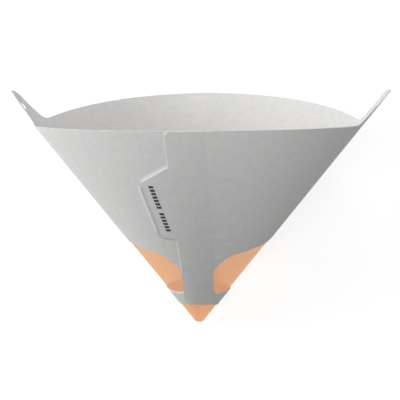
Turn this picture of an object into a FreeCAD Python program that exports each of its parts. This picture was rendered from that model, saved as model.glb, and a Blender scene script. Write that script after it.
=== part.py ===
import FreeCAD, Part
import math
import os
import Sketcher

# Paper paint strainer: a cone of stiff paper, folded flat at the mill along two
# side creases, glued down one lap seam in front, opened out by hand and laid on its
# back. A cone of nylon gauze is glued inside it, covers its two windows and closes
# its tip.
#
# Everything is built in the cone's own frame: apex at the origin, mouth towards +Z,
# front wall and seam towards -Y, creases at +X and -X. Each finished piece is then
# laid down by its Placement, so that the flat of its back wall lies on Z = 0.
# Lengths are millimetres.

SIZES = [
    # the cone
    ("slant_length", 150.0),        # apex to rim along the paper: the blank's radius
    ("section_height", 100.0),      # height above the apex where the next four hold
    ("half_width", 77.0),           # from the middle to a crease
    ("front_depth", 63.4),          # from the crease plane to the front wall
    ("back_depth", 60.3),           # from the crease plane to the round of the back
    ("floor_flat_half", 8.0),       # half width of the flat that the cone lies on
    ("tip_opening", 19.0),          # apex to the paper's lower edge, along the paper
    ("paper_thickness", 0.35),
    # the lap seam in front: the outer sheet's edge, with its glue flap
    ("lap_chamfer", 1.8),
    ("lap_x", -8.1),
    ("lap_notch_z", 107.2),
    ("flap_top_x", -24.3),
    ("flap_top_z", 97.0),
    ("flap_low_x", -17.0),
    ("flap_low_z", 63.9),
    ("lap_low_x", -7.7),
    ("lap_low_z", 62.7),
    ("lap_foot_x", -6.0),
    ("lap_notch_radius", 0.8),
    ("flap_top_radius", 2.6),
    ("flap_low_radius", 1.6),
    ("lap_low_radius", 0.8),
    ("lap_past_crease", 1.5),       # how far behind the right crease the step has died out
    # the inner sheet's edge, which lies under the outer sheet
    ("inner_edge_foot_x", 10.4),
    ("inner_edge_rim_x", 12.6),
    # the windows, one round each crease, mirrored about the seam strip
    ("seam_offset", 1.35),          # middle of the strip, from the middle of the front
    ("strip_half", 9.15),           # half width of the strip
    ("window_low_z", 24.9),
    ("window_corner_z", 40.6),
    ("window_shoulder_x", 18.2),
    ("window_shoulder_z", 50.2),
    ("window_side_x", 58.0),        # past the crease, where the outline closes
    ("window_side_top_z", 55.6),
    ("window_side_low_z", 18.7),
    ("window_low_radius", 2.2),
    ("window_corner_radius", 2.5),
    ("window_shoulder_radius", 14.0),
    # the ears, which run on from the creases above the rim
    ("ear_length", 23.5),
    ("ear_root_half", 12.6),
    ("ear_end_half", 9.4),
    ("ear_root_radius", 4.0),
    ("ear_end_radius", 6.0),
    ("ear_lean", 1.8),              # how far in its end leans, which flattens the fold
    ("hang_hole_diameter", 6.0),
    ("hang_hole_height", 12.5),     # hole's centre above the rim
    # the gauze
    ("gauze_thickness", 0.15),
    ("glue_film", 0.05),            # between the paper and the gauze
    ("gauze_reach", 70.0),          # apex to the gauze's upper edge
    ("gauze_tip_height", 1.6),      # height of its blunt tip above the apex
    ("gauze_tip_floor", 0.6),       # solid folded gauze that closes the tip
]

size = dict(SIZES)

doc = FreeCAD.newDocument("paint_strainer")
sheet = doc.addObject("Spreadsheet::Sheet", "Sizes")
for row, (alias, value) in enumerate(SIZES, start=1):
    sheet.set("A%d" % row, alias)
    sheet.set("B%d" % row, str(value))
    sheet.setAlias("B%d" % row, alias)
doc.recompute()


# ---- lengths worked out from the sheet: a value and the same thing as an expression

class Length:
    """A length in the model: its value now, and the expression that keeps it."""

    def __init__(self, value, text):
        self.value = value
        self.text = text

    def __add__(self, other):
        other = as_length(other)
        return Length(self.value + other.value, "(%s + %s)" % (self.text, other.text))

    def __sub__(self, other):
        other = as_length(other)
        return Length(self.value - other.value, "(%s - %s)" % (self.text, other.text))

    def __mul__(self, other):
        other = as_length(other)
        return Length(self.value * other.value, "(%s * %s)" % (self.text, other.text))

    def __truediv__(self, other):
        other = as_length(other)
        return Length(self.value / other.value, "(%s / %s)" % (self.text, other.text))


def as_length(number):
    """A Length stays itself, and a plain number becomes one."""
    if isinstance(number, Length):
        return number
    return Length(float(number), repr(float(number)))


def of(alias):
    """The sheet's size of this name."""
    return Length(size[alias], "Sizes." + alias)


def root(length):
    """Square root of a Length."""
    return Length(math.sqrt(length.value), "sqrt(%s)" % length.text)


def circle_through(half, depth):
    """Radius of the circle with this half chord and this height of segment."""
    return (half * half + depth * depth) / (depth * 2)


HALF = of("half_width") / of("section_height")
FRONT = of("front_depth") / of("section_height")
BACK = of("back_depth") / of("section_height")
FLAT_HALF = of("floor_flat_half") / of("section_height")
FRONT_RADIUS = circle_through(HALF, FRONT)
BACK_RADIUS = circle_through(HALF, BACK)
FRONT_CENTRE = FRONT_RADIUS - FRONT
BACK_CENTRE = BACK - BACK_RADIUS
FLAT = BACK_CENTRE + root(BACK_RADIUS * BACK_RADIUS - FLAT_HALF * FLAT_HALF)
FRONT_LEAN = root(FRONT * FRONT + 1)
FLAT_LEAN = root(FLAT * FLAT + 1)

PAPER_INSIDE = of("paper_thickness")
GAUZE_OUTSIDE = PAPER_INSIDE + of("glue_film")
GAUZE_INSIDE = GAUZE_OUTSIDE + of("gauze_thickness")
LAP_STEP = of("paper_thickness") * FRONT_LEAN
LAP_SIDE = LAP_STEP * FRONT_CENTRE / HALF

CREASE_LEAN = root(HALF * HALF + 1)

TOP = of("slant_length") + of("ear_length")
REACH = of("slant_length") * 2      # past everything: how far a cutting outline runs
FRONT_RIM_Z = of("slant_length") / FRONT_LEAN


# ---- small makers for bodies, sketches and features

def new_body(name):
    """An empty PartDesign body."""
    body = doc.addObject("PartDesign::Body", name)
    body.Label = name
    return body


def new_sketch(body, name, role):
    """A sketch on one of the body's origin planes."""
    plane = next(item for item in body.Origin.OriginFeatures if item.Role == role)
    sketch = body.newObject("Sketcher::SketchObject", name)
    sketch.AttachmentSupport = [(plane, "")]
    sketch.MapMode = "FlatFace"
    return sketch


def raise_sketch(sketch, height):
    """Lift a sketch off its plane by a Length."""
    sketch.AttachmentOffset = FreeCAD.Placement(
        FreeCAD.Vector(0, 0, height.value), FreeCAD.Rotation())
    sketch.setExpression("AttachmentOffset.Base.z", height.text)


def bind(sketch, name, kind, *geometry, length):
    """Add a driving dimension to a sketch and tie it to a Length."""
    index = sketch.addConstraint(Sketcher.Constraint(kind, *geometry, length.value))
    sketch.renameConstraint(index, name)
    sketch.setExpression("Constraints." + name, length.text)


def tie_point(sketch, name, geometry, corner, across, up):
    """Fix a point of a sketch at two Lengths from the origin."""
    bind(sketch, name + "_x", "DistanceX", -1, 1, geometry, corner, length=across)
    bind(sketch, name + "_y", "DistanceY", -1, 1, geometry, corner, length=up)


def draw_outline(sketch, corners):
    """Closed outline through (across, up, radius) corners, rounded where radius is set."""
    count = len(corners)
    spots = [FreeCAD.Vector(across.value, up.value, 0) for across, up, _ in corners]
    cuts = []
    for i, (across, up, radius) in enumerate(corners):
        back = (spots[i - 1] - spots[i]).normalize()
        ahead = (spots[(i + 1) % count] - spots[i]).normalize()
        if radius is None:
            cuts.append((spots[i], spots[i], None))
            continue
        half_turn = back.getAngle(ahead) / 2
        reach = radius.value / math.tan(half_turn)
        start = spots[i] + back * reach
        end = spots[i] + ahead * reach
        middle = (back + ahead).normalize()
        centre = spots[i] + middle * (radius.value / math.sin(half_turn))
        nearest = centre - middle * radius.value
        cuts.append((start, end, Part.Arc(start, nearest, end)))
    lines = []
    for i in range(count):
        leave = cuts[i][1]
        arrive = cuts[(i + 1) % count][0]
        lines.append(sketch.addGeometry(Part.LineSegment(leave, arrive), False))
    for i, (across, up, radius) in enumerate(corners):
        name = "corner%d" % i
        incoming = lines[i - 1]
        outgoing = lines[i]
        if radius is None:
            sketch.addConstraint(Sketcher.Constraint("Coincident", incoming, 2, outgoing, 1))
            tie_point(sketch, name, outgoing, 1, across, up)
            continue
        arc = sketch.addGeometry(cuts[i][2], False)
        first, last = (1, 2)
        if sketch.getPoint(arc, 1).distanceToPoint(cuts[i][0]) > 1e-6:
            first, last = (2, 1)
        sketch.addConstraint(Sketcher.Constraint("Tangent", incoming, 2, arc, first))
        sketch.addConstraint(Sketcher.Constraint("Tangent", arc, last, outgoing, 1))
        bind(sketch, name + "_radius", "Radius", arc, length=radius)
        mark = sketch.addGeometry(Part.Point(spots[i]), True)
        sketch.addConstraint(Sketcher.Constraint("PointOnObject", mark, 1, incoming))
        sketch.addConstraint(Sketcher.Constraint("PointOnObject", mark, 1, outgoing))
        tie_point(sketch, name, mark, 1, across, up)


def pad(body, sketch, length, both_ways):
    """Pad a sketch by a Length, one way or half each way."""
    feature = body.newObject("PartDesign::Pad", sketch.Name + "_pad")
    feature.Profile = sketch
    feature.Midplane = both_ways
    feature.Length = length.value
    feature.setExpression("Length", length.text)
    return feature


def loft(body, low, high):
    """Straight loft between two sketches."""
    feature = body.newObject("PartDesign::AdditiveLoft", body.Name + "_loft")
    feature.Profile = low
    feature.Sections = [(high, [""])]
    feature.Ruled = True
    return feature


def boolean(kind, name, base, tool):
    """Part boolean of two objects."""
    feature = doc.addObject("Part::" + kind, name)
    feature.Base = base
    feature.Tool = tool
    return feature


def fuse(name, pieces):
    """Part union of several objects."""
    feature = doc.addObject("Part::MultiFuse", name)
    feature.Shapes = pieces
    return feature


def ball(name, radius):
    """Ball about the apex: it cuts the cone at one distance along the paper."""
    feature = doc.addObject("Part::Sphere", name)
    feature.Radius = radius.value
    feature.setExpression("Radius", radius.text)
    return feature


# ---- closed cone forms

def front_ring(height, inset):
    """The front wall's circle at a height: its centre, across and back, and its radius."""
    return None, FRONT_CENTRE * height, FRONT_RADIUS * height - inset * FRONT_LEAN


def back_ring(height, inset):
    """The back wall's circle at a height."""
    return None, BACK_CENTRE * height, BACK_RADIUS * height - inset * FRONT_LEAN


def lap_ring(height, inset):
    """The front circle moved out by the lap's step, still through the right crease."""
    back = FRONT_CENTRE * height - LAP_STEP
    crease = HALF * height + LAP_SIDE
    radius = root(crease * crease + back * back) - inset * FRONT_LEAN
    return LAP_SIDE * -1, back, radius


def place_ring(sketch, name, arc, across, back, radius):
    """Tie an arc's centre and radius to Lengths; no across keeps it on the middle plane."""
    if across:
        bind(sketch, name + "_x", "DistanceX", -1, 1, arc, 3, length=across)
    else:
        sketch.addConstraint(Sketcher.Constraint("PointOnObject", arc, 3, -2))
    bind(sketch, name + "_y", "DistanceY", -1, 1, arc, 3, length=back)
    bind(sketch, name + "_radius", "Radius", arc, length=radius)


def ring_crossings(first, second):
    """The two points, left and right, where two rings cross."""
    centres = []
    radii = []
    for across, back, radius in (first, second):
        middle = across.value if across else 0
        centres.append(FreeCAD.Vector(middle, back.value, 0))
        radii.append(radius.value)
    apart = centres[1] - centres[0]
    along = (radii[0] ** 2 - radii[1] ** 2 + apart.Length ** 2) / (2 * apart.Length)
    aside = math.sqrt(radii[0] ** 2 - along ** 2)
    apart.normalize()
    foot = centres[0] + apart * along
    side = FreeCAD.Vector(apart.y, -apart.x, 0) * aside
    return sorted((foot - side, foot + side), key=lambda point: point.x)


def draw_section(sketch, height, inset, ring):
    """The cone's section at a height: front arc and back arc, meeting at the creases."""
    front_circle = ring(height, inset)
    back_circle = back_ring(height, inset)
    left, right = ring_crossings(front_circle, back_circle)
    front_across, front_back, front_radius = front_circle
    middle = front_across.value if front_across else 0
    front_middle = FreeCAD.Vector(middle, front_back.value - front_radius.value, 0)
    back_middle = FreeCAD.Vector(0, back_circle[1].value + back_circle[2].value, 0)
    front = sketch.addGeometry(Part.Arc(left, front_middle, right), False)
    back = sketch.addGeometry(Part.Arc(right, back_middle, left), False)
    place_ring(sketch, "front", front, *front_circle)
    place_ring(sketch, "back", back, *back_circle)
    sketch.addConstraint(Sketcher.Constraint("Coincident", front, 2, back, 1))
    sketch.addConstraint(Sketcher.Constraint("Coincident", front, 1, back, 2))


def cone_form(name, low, high, inset, ring):
    """Solid cone between two heights, lying inset inside the paper's outer face."""
    body = new_body(name)
    sketches = []
    for tag, height in (("low", low), ("high", high)):
        sketch = new_sketch(body, "%s_%s" % (name, tag), "XY_Plane")
        raise_sketch(sketch, height)
        draw_section(sketch, height, inset, ring)
        sketches.append(sketch)
    doc.recompute()
    loft(body, *sketches)
    side = new_sketch(body, name + "_flat", "YZ_Plane")
    foot = FLAT_LEAN * inset * -1
    above = high + low
    draw_outline(side, [(foot, as_length(0), None),
                        (FLAT * above + foot, above, None),
                        (REACH, above, None),
                        (REACH, as_length(0), None)])
    doc.recompute()
    cut = body.newObject("PartDesign::Pocket", name + "_flat_cut")
    cut.Profile = side
    cut.Midplane = True
    cut.Length = (REACH * 2).value
    cut.setExpression("Length", (REACH * 2).text)
    doc.recompute()
    return body


def spiral_form(name, inset, raised):
    """Solid inside one face of the paper: the cone, stepped out in the raised zone."""
    low = of("tip_opening") / 2
    level = cone_form(name + "_level", low, TOP, inset, front_ring)
    lifted = cone_form(name + "_lifted", low, TOP, inset, lap_ring)
    rest = boolean("Cut", name + "_rest", level, raised)
    step = boolean("Common", name + "_step", lifted, raised)
    return fuse(name + "_spiral", [rest, step])


def front_zone(name, corners):
    """Everything in front, to just past the creases, inside an outline in front view."""
    body = new_body(name)
    sketch = new_sketch(body, name + "_outline", "XZ_Plane")
    raise_sketch(sketch, of("lap_past_crease") * -1)
    draw_outline(sketch, corners)
    doc.recompute()
    pad(body, sketch, REACH, False)
    doc.recompute()
    return body


# ---- the paper: one sheet round the cone, whose over edge laps its under edge

inner_edge_slope = (of("inner_edge_rim_x") - of("inner_edge_foot_x")) / of("slant_length")
beyond_inner_edge = front_zone("beyond_inner_edge", [
    (of("inner_edge_foot_x"), as_length(0), None),
    (of("inner_edge_foot_x") + inner_edge_slope * TOP, TOP, None),
    (REACH, TOP, None),
    (REACH, as_length(0), None),
])
chamfer_foot = FRONT_RIM_Z - of("lap_chamfer")
behind_lap_edge = front_zone("behind_lap_edge", [
    (of("lap_foot_x"), as_length(0), None),
    (of("lap_low_x"), of("lap_low_z"), of("lap_low_radius")),
    (of("flap_low_x"), of("flap_low_z"), of("flap_low_radius")),
    (of("flap_top_x"), of("flap_top_z"), of("flap_top_radius")),
    (of("lap_x"), of("lap_notch_z"), of("lap_notch_radius")),
    (of("lap_x"), chamfer_foot, None),
    (of("lap_x") + TOP - chamfer_foot, TOP, None),
    (REACH, TOP, None),
    (REACH, as_length(0), None),
])
outside_spiral = spiral_form("outside", as_length(0), behind_lap_edge)
inside_spiral = spiral_form("inside", PAPER_INSIDE, beyond_inner_edge)


# ---- the blank's own outline: round rim with two ears, open tip, two windows

def crease_point(side, along, inward):
    """Across and up of a point beside a crease, in the creases' plane."""
    across = (HALF * along - inward) / CREASE_LEAN * side
    up = (along + HALF * inward) / CREASE_LEAN
    return across, up


def ear_zone(name, side):
    """Slab through one crease, cut to the ear's outline."""
    body = new_body(name)
    sketch = new_sketch(body, name + "_outline", "YZ_Plane")
    lean = FreeCAD.Rotation(FreeCAD.Vector(side, 0, 0), math.degrees(math.atan(HALF.value)))
    sketch.AttachmentOffset = FreeCAD.Placement(FreeCAD.Vector(), lean)
    sketch.setExpression("AttachmentOffset.Rotation.Angle", "atan(%s)" % HALF.text)
    root_half = of("ear_root_half")
    flare = root_half + of("ear_root_radius")
    wide = flare + of("ear_root_radius")
    rim = root(of("slant_length") * of("slant_length") - flare * flare)
    below = rim - root_half
    draw_outline(sketch, [
        (wide * -1, below, None),
        (wide, below, None),
        (wide, rim, None),
        (root_half, rim, of("ear_root_radius")),
        (of("ear_end_half"), TOP, of("ear_end_radius")),
        (of("ear_end_half") * -1, TOP, of("ear_end_radius")),
        (root_half * -1, rim, of("ear_root_radius")),
        (wide * -1, rim, None),
    ])
    doc.recompute()
    pad(body, sketch, of("half_width"), True)
    doc.recompute()
    return body


def ear_facet(name, side, inset):
    """Wedge outside one ear's flat, which starts at the rim and leans in to the end."""
    body = new_body(name)
    sketch = new_sketch(body, name + "_outline", "XZ_Plane")
    past_end = of("slant_length") + of("ear_length") * 2
    outside = of("ear_root_half") * -1
    corners = [crease_point(side, of("slant_length"), inset),
               crease_point(side, past_end, of("ear_lean") * 2 + inset),
               crease_point(side, past_end, outside),
               crease_point(side, of("slant_length"), outside)]
    draw_outline(sketch, [(across, up, None) for across, up in corners])
    doc.recompute()
    pad(body, sketch, of("ear_root_half") * 4, True)
    doc.recompute()
    return body


def hang_hole(name, side):
    """Punch through the middle of one ear's flat, square to it."""
    body = new_body(name)
    sketch = new_sketch(body, name + "_outline", "YZ_Plane")
    foot_across, foot_up = crease_point(side, of("slant_length"), as_length(0))
    end_across, end_up = crease_point(side, TOP, of("ear_lean"))
    slope = (end_across - foot_across) / (end_up - foot_up) * side
    lean = FreeCAD.Rotation(FreeCAD.Vector(side, 0, 0), math.degrees(math.atan(slope.value)))
    foot = FreeCAD.Vector(0, foot_up.value, foot_across.value)
    sketch.AttachmentOffset = FreeCAD.Placement(foot, lean)
    sketch.setExpression("AttachmentOffset.Base.y", foot_up.text)
    sketch.setExpression("AttachmentOffset.Base.z", foot_across.text)
    sketch.setExpression("AttachmentOffset.Rotation.Angle", "atan(%s)" % slope.text)
    height = of("hang_hole_height")
    radius = of("hang_hole_diameter") / 2
    centre = FreeCAD.Vector(0, height.value, 0)
    hole = sketch.addGeometry(Part.Circle(centre, FreeCAD.Vector(0, 0, 1), radius.value), False)
    sketch.addConstraint(Sketcher.Constraint("PointOnObject", hole, 3, -2))
    bind(sketch, "hole_height", "DistanceY", -1, 1, hole, 3, length=height)
    bind(sketch, "hole_radius", "Radius", hole, length=radius)
    doc.recompute()
    pad(body, sketch, of("ear_length"), True)
    doc.recompute()
    return body


def window_zone(name, side):
    """One window's outline in front view, run through the front and the back."""
    body = new_body(name)
    sketch = new_sketch(body, name + "_outline", "XZ_Plane")
    middle = of("seam_offset")
    inner = middle + of("strip_half") * side
    shoulder = middle + of("window_shoulder_x") * side
    outer = middle + of("window_side_x") * side
    draw_outline(sketch, [
        (inner, of("window_low_z"), of("window_low_radius")),
        (inner, of("window_corner_z"), of("window_corner_radius")),
        (shoulder, of("window_shoulder_z"), of("window_shoulder_radius")),
        (outer, of("window_side_top_z"), None),
        (outer, of("window_side_low_z"), None),
    ])
    doc.recompute()
    pad(body, sketch, REACH * 2, True)
    doc.recompute()
    return body


def flatten_ears(name, form, inset):
    """The form with both ears' folds flattened."""
    facets = fuse(name + "_facets", [ear_facet(name + "_facet_right", 1, inset),
                                     ear_facet(name + "_facet_left", -1, inset)])
    return boolean("Cut", name, form, facets)


paper_outside = flatten_ears("paper_outside", outside_spiral, as_length(0))
paper_inside = flatten_ears("paper_inside", inside_spiral, PAPER_INSIDE)
lapped_sheet = boolean("Cut", "lapped_sheet", paper_outside, paper_inside)
rim_ball = ball("rim_ball", of("slant_length"))
ear_right = ear_zone("ear_right", 1)
ear_left = ear_zone("ear_left", -1)
blank_outline = fuse("blank_outline", [rim_ball, ear_right, ear_left])
trimmed_sheet = boolean("Common", "trimmed_sheet", lapped_sheet, blank_outline)
tip_ball = ball("tip_ball", of("tip_opening"))
window_right = window_zone("window_right", 1)
window_left = window_zone("window_left", -1)
hole_right = hang_hole("hole_right", 1)
hole_left = hang_hole("hole_left", -1)
cut_outs = fuse("cut_outs", [tip_ball, window_right, window_left, hole_right, hole_left])
paper_cone = boolean("Cut", "paper_cone", trimmed_sheet, cut_outs)


# ---- the gauze

gauze_low = of("gauze_tip_height")
gauze_outside = cone_form("gauze_outside", gauze_low, of("gauze_reach"),
                          GAUZE_OUTSIDE, front_ring)
gauze_inside = cone_form("gauze_inside", gauze_low + of("gauze_tip_floor"),
                         of("gauze_reach"), GAUZE_INSIDE, front_ring)
gauze_sheet = boolean("Cut", "gauze_sheet", gauze_outside, gauze_inside)
gauze_ball = ball("gauze_ball", of("gauze_reach"))
filter_gauze = boolean("Common", "filter_gauze", gauze_sheet, gauze_ball)


# ---- laid down on the flat of the back, over the middle of the floor it covers

doc.recompute()
tip_front = FRONT * gauze_low - GAUZE_OUTSIDE * FRONT_LEAN
TIP_END = (gauze_low - tip_front * FLAT) / FLAT_LEAN
FLOOR_MIDDLE = (of("slant_length") + TIP_END) / 2
for piece in (paper_cone, filter_gauze):
    turn = FreeCAD.Rotation(FreeCAD.Vector(-1, 0, 0), math.degrees(math.atan(1 / FLAT.value)))
    piece.Placement = FreeCAD.Placement(FreeCAD.Vector(0, -FLOOR_MIDDLE.value, 0), turn)
    piece.setExpression("Placement.Rotation.Angle", "atan(1 / %s)" % FLAT.text)
    piece.setExpression("Placement.Base.y", "-1 * %s" % FLOOR_MIDDLE.text)
doc.recompute()

for item in doc.Objects:
    bad = [word for word in item.State if word in ("Invalid", "Error")]
    if bad:
        raise RuntimeError("%s: %s" % (item.Name, bad))
SUB_PARTS = [paper_cone, filter_gauze]
for piece in SUB_PARTS:
    if piece.Shape.isNull() or not piece.Shape.isValid():
        raise RuntimeError("%s has no valid shape" % piece.Label)

os.makedirs("parts", exist_ok=True)
for piece in SUB_PARTS:
    piece.Shape.exportStep(os.path.join("parts", piece.Label + ".step"))
    box = piece.Shape.BoundBox
    print("%-14s solids %d faces %3d volume %9.2f  x %.2f %.2f  y %.2f %.2f  z %.3f %.2f" % (
        piece.Label, len(piece.Shape.Solids), len(piece.Shape.Faces), piece.Shape.Volume,
        box.XMin, box.XMax, box.YMin, box.YMax, box.ZMin, box.ZMax))
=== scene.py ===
import math
import bpy
import numpy as np
from mathutils import Matrix, Vector
from mathutils.geometry import delaunay_2d_cdt

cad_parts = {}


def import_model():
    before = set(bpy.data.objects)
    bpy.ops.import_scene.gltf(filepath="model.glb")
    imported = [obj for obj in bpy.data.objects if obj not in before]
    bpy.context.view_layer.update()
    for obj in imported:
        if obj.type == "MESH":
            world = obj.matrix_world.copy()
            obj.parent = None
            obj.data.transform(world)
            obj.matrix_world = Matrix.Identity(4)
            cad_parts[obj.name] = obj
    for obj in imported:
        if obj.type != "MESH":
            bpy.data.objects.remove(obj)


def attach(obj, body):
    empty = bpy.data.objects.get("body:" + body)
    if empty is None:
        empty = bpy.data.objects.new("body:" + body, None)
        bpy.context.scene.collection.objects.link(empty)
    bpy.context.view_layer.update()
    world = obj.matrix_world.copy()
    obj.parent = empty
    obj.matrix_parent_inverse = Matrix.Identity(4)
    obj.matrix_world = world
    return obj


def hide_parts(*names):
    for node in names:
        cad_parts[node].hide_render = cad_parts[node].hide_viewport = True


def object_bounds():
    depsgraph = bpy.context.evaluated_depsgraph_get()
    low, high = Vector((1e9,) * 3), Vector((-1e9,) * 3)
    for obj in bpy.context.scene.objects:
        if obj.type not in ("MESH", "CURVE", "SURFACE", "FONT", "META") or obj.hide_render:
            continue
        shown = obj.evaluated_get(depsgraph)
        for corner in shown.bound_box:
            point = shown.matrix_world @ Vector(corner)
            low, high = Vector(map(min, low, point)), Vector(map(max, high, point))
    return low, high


# A paper paint strainer: one blank of stiff white paper, rolled into a cone with two
# pressed creases and a glued lap, and a cone of orange nylon gauze glued inside it.
# Both are cut flat here, in the blank's own plane, and rolled by one rule.

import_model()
CAD_LOW, CAD_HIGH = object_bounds()

MM = 0.001

# ---- the cone's section one unit above the apex, and the paper
HALF_WIDTH = 0.77               # middle to crease
FRONT_DEPTH = 0.634             # crease plane to the front wall
BACK_DEPTH = 0.603              # crease plane to the round of the back
FLOOR_HALF = 0.08               # half width of the flat that it lies on
SLANT = 150 * MM                # apex to rim along the paper
TIP_OPENING = 21.0 * MM         # apex to the paper's lower edge, at the middle of a wall
TIP_DIP = 3.4 * MM              # how much nearer the apex that edge is at a crease
PAPER = 0.35 * MM
LAP_AIR = 0.02 * MM             # glue between the two sheets of the lap
LAP_DOWN_FROM = 11.8 * MM       # front middle to where the over sheet starts to come down
LAP_EASE = 3.2 * MM             # how far it takes to come down, past the under edge
FOLD_HALF = 0.9 * MM            # half width of the rounding at a crease
WAVINESS = 0.8 * MM             # how far the rim sways from its true curve
SHARP_FROM = math.radians(40)   # edges that turn more than this stay sharp

# ---- ears
EAR_LENGTH = 23.5 * MM
LEFT_EAR_LENGTH = 22.6 * MM     # that one stands a little lower
EAR_ROOT_HALF = 12.6 * MM
EAR_END_HALF = 9.4 * MM
EAR_ROOT_ROUND = 4 * MM
EAR_END_ROUND = 6 * MM
EAR_FLATTENED = 21 * MM         # half width over which the crease has died out at its end
HOLE_HALF = 2.6 * MM
HOLE_HEIGHT = 12.5 * MM         # above the rim
LEFT_HOLE_SHIFT = 1.3 * MM      # how far it is punched off that ear's middle
LEFT_EAR_BEND = -0.2 * MM       # inwards, at the end
RIGHT_EAR_BEND = -0.6 * MM
LEFT_EAR_TWIST = 0.205          # how far its front side turns inwards, over its half width
RIGHT_EAR_TWIST = -0.025
LEFT_EAR_SHIFT = 0.9 * MM       # how far its middle stands off the crease, to the back
RIGHT_EAR_SHIFT = 5.5 * MM      # and to the front

# ---- gauze
GAUZE = 0.15 * MM
GLUE = 0.05 * MM
GAUZE_REACH = 70 * MM
GAUZE_TIP = 3.9 * MM            # apex to its lower end, at the middle of a wall
GAUZE_TIP_RISE = 1.1 * MM       # how much further from the apex that end is at a crease
GAUZE_LAP = 0.03                # its seam's overlap, in radians of the blank
GAUZE_EASE = 0.03               # and the angle over which that comes back to one layer
GAUZE_GATHER = 6 * MM           # nearer the apex than this, its two walls draw together
GAUZE_SLACK = 0.45 * MM         # how far inside the creases it hangs, across the windows


# ---- the section curve: a closed line on the unit sphere about the apex

def arc_radius(depth):
    """Radius of the circle through both creases with this depth."""
    return (HALF_WIDTH ** 2 + depth ** 2) / (2 * depth)


def wall_depth(across, wall):
    """How far in front of (-) or behind (+) the crease plane a wall lies, at unit height."""
    if wall == "front":
        radius = arc_radius(FRONT_DEPTH)
        return (radius - FRONT_DEPTH) - np.sqrt(radius ** 2 - across ** 2)
    radius = arc_radius(BACK_DEPTH)
    flat = (BACK_DEPTH - radius) + math.sqrt(radius ** 2 - FLOOR_HALF ** 2)
    return np.minimum((BACK_DEPTH - radius) + np.sqrt(radius ** 2 - across ** 2), flat)


SECTION_POINTS = 1601           # along half a wall, close together at the crease


def half_section(wall):
    """Across values from the middle to the right crease, their rays, and the angles run."""
    across = HALF_WIDTH * np.sin(np.linspace(0, math.pi / 2, SECTION_POINTS))
    rays = np.stack([across, wall_depth(across, wall), np.ones_like(across)], axis=1)
    rays /= np.linalg.norm(rays, axis=1)[:, None]
    steps = 2 * np.arcsin(np.linalg.norm(np.diff(rays, axis=0), axis=1) / 2)
    return across, rays, np.concatenate([[0], np.cumsum(steps)])


FRONT_ACROSS, FRONT_RAYS, FRONT_RUN = half_section("front")
BACK_ACROSS, BACK_RAYS, BACK_RUN = half_section("back")
FOLD_AT = BACK_RUN[-1]                  # the blank's angle from its middle to a crease
HALF_TURN = FOLD_AT + FRONT_RUN[-1]     # and to the middle of the front
FLAT = wall_depth(0.0, "back")
LAY_DOWN = math.atan(1 / FLAT)          # turn about X that brings the flat onto the floor


# ---- the blank's plane: apex at the origin, middle of the back along +Y, outside face up

def polar(radius, angle):
    """Point of the blank at this distance from the apex and angle from the middle."""
    return np.stack([radius * np.sin(angle), radius * np.cos(angle)], axis=-1)


def from_front_view(points, sheet):
    """Where points seen square from the front (across, up) lie on the blank.

    sheet is under or over, for the two ends of the blank in front, or back."""
    points = np.asarray(points, float)
    across = np.clip(points[:, 0] / points[:, 1], -HALF_WIDTH, HALF_WIDTH)
    wall = "back" if sheet == "back" else "front"
    reach = points[:, 1] * np.sqrt(1 + across ** 2 + wall_depth(across, wall) ** 2)
    grid, run = (BACK_ACROSS, BACK_RUN) if sheet == "back" else (FRONT_ACROSS, FRONT_RUN)
    turn = np.interp(np.abs(across), grid, run) * np.sign(across)
    angle = {"back": -turn, "under": HALF_TURN + turn, "over": turn - HALF_TURN}[sheet]
    return polar(reach, angle)


def rounded(corners, step, closed=False):
    """Points along straight runs through (x, y, radius) corners, each rounded by its radius."""
    spots = [Vector(corner[:2]) for corner in corners]
    path = []
    for i, (x, y, radius) in enumerate(corners):
        if not closed and i in (0, len(corners) - 1):
            path.append(spots[i])
            continue
        back = (spots[i - 1] - spots[i]).normalized()
        ahead = (spots[(i + 1) % len(spots)] - spots[i]).normalized()
        if radius == 0:
            path.append(spots[i])
            continue
        half = back.angle(ahead) / 2
        middle = (back + ahead).normalized()
        centre = spots[i] + middle * (radius / math.sin(half))
        turn = math.pi - 2 * half
        side = 1 if back.x * ahead.y - back.y * ahead.x > 0 else -1
        arms = max(3, math.ceil(turn * radius / step))
        for k in range(arms + 1):
            swing = (k / arms - 0.5) * turn * -side
            out = -middle
            path.append(centre + radius * Vector((
                out.x * math.cos(swing) - out.y * math.sin(swing),
                out.x * math.sin(swing) + out.y * math.cos(swing))))
    if closed:
        path.append(path[0])
    line = [path[0]]
    for start, end in zip(path, path[1:]):
        parts = max(1, math.ceil((end - start).length / step))
        line += [start.lerp(end, (k + 1) / parts) for k in range(parts)]
    if closed:
        line.pop()
    return np.array([point[:] for point in line])


STEP = 1.5 * MM                 # spacing of the blank's points
EDGE_STEP = 0.8 * MM            # and along its cut edges

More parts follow.
